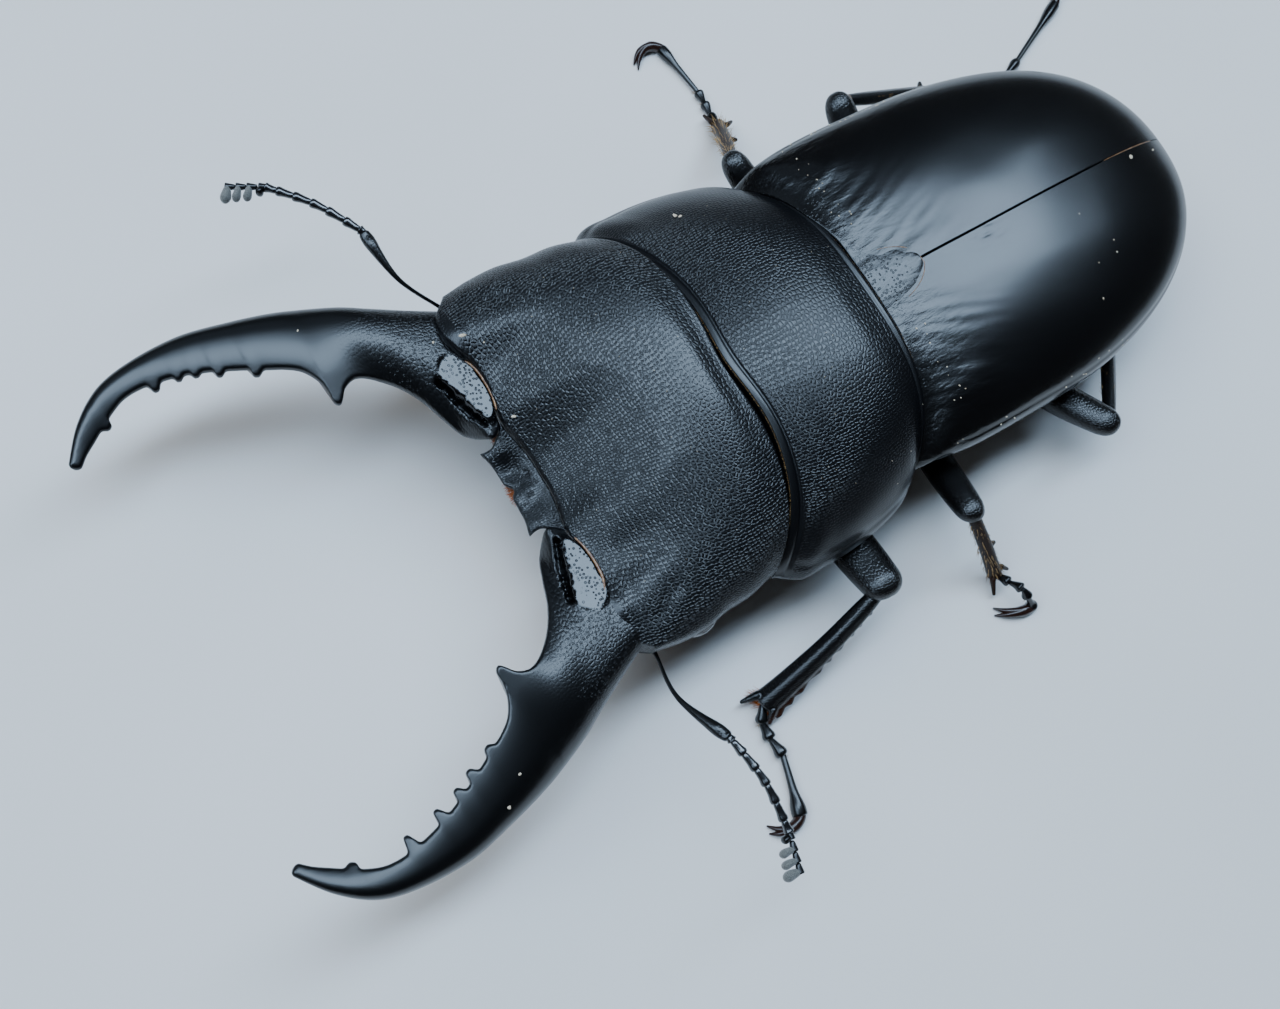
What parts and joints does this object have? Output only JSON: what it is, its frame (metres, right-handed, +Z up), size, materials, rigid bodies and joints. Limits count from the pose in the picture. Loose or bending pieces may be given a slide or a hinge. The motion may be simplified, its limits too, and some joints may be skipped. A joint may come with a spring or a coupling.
{
  "type": "stag beetle",
  "caption": "Giant stag beetle, a large-jawed male at life size: flat black body, long curved toothed jaws held open, legs spread, standing still.",
  "frame": {"origin": "bottom centre of the beetle's bounding box, on the ground under its feet", "axes": "+X to the beetle's own left, +Y backwards along the body from jaws to tail, +Z up"},
  "size_m": [0.0758, 0.1174, 0.017],
  "materials": {
    "shell": "satin black, finely grained",
    "gloss": "glossy black, finely wrinkled near the shoulders",
    "horn": "satin black jaw, polished at the base",
    "limb": "polished black leg and feeler",
    "brown": "dark brown, hairy shin and mouth feeler",
    "eye": "dark red-brown facets under a clear skin",
    "club": "grey velvet of the feeler's club"
  },
  "bodies": {
    "root": {"pronotum": "shell", "head": "shell", "eye_left": "eye", "eye_right": "eye", "mandible_left": "horn", "mandible_right": "horn", "labrum": "shell", "mentum": "shell", "palp_outer_left": "brown", "palp_inner_left": "brown", "palp_outer_right": "brown", "palp_inner_right": "brown", "scutellum": "gloss", "elytron_left": "gloss", "elytron_right": "gloss", "fore_left_coxa": "limb", "fore_left_femur": "limb", "fore_left_tibia": "limb", "fore_left_tarsus": "limb", "fore_left_claws": "limb", "fore_right_coxa": "limb", "fore_right_femur": "limb", "fore_right_tibia": "limb", "fore_right_tarsus": "limb", "fore_right_claws": "limb", "mid_left_coxa": "limb", "mid_left_femur": "limb", "mid_left_tibia": "brown", "mid_left_tarsus": "limb", "mid_left_claws": "limb", "mid_right_coxa": "limb", "mid_right_femur": "limb", "mid_right_tibia": "brown", "mid_right_tarsus": "limb", "mid_right_claws": "limb", "hind_left_coxa": "limb", "hind_left_femur": "limb", "hind_left_tibia": "limb", "hind_left_tarsus": "limb", "hind_left_claws": "limb", "hind_right_coxa": "limb", "hind_right_femur": "limb", "hind_right_tibia": "limb", "hind_right_tarsus": "limb", "hind_right_claws": "limb", "prosternum": "shell", "metasternum": "shell", "abdomen": "shell", "antenna_scape_left": "limb", "antenna_lash_left": "limb", "antenna_club_left": "club", "antenna_scape_right": "limb", "antenna_lash_right": "limb", "antenna_club_right": "club"}
  },
  "joints": []
}
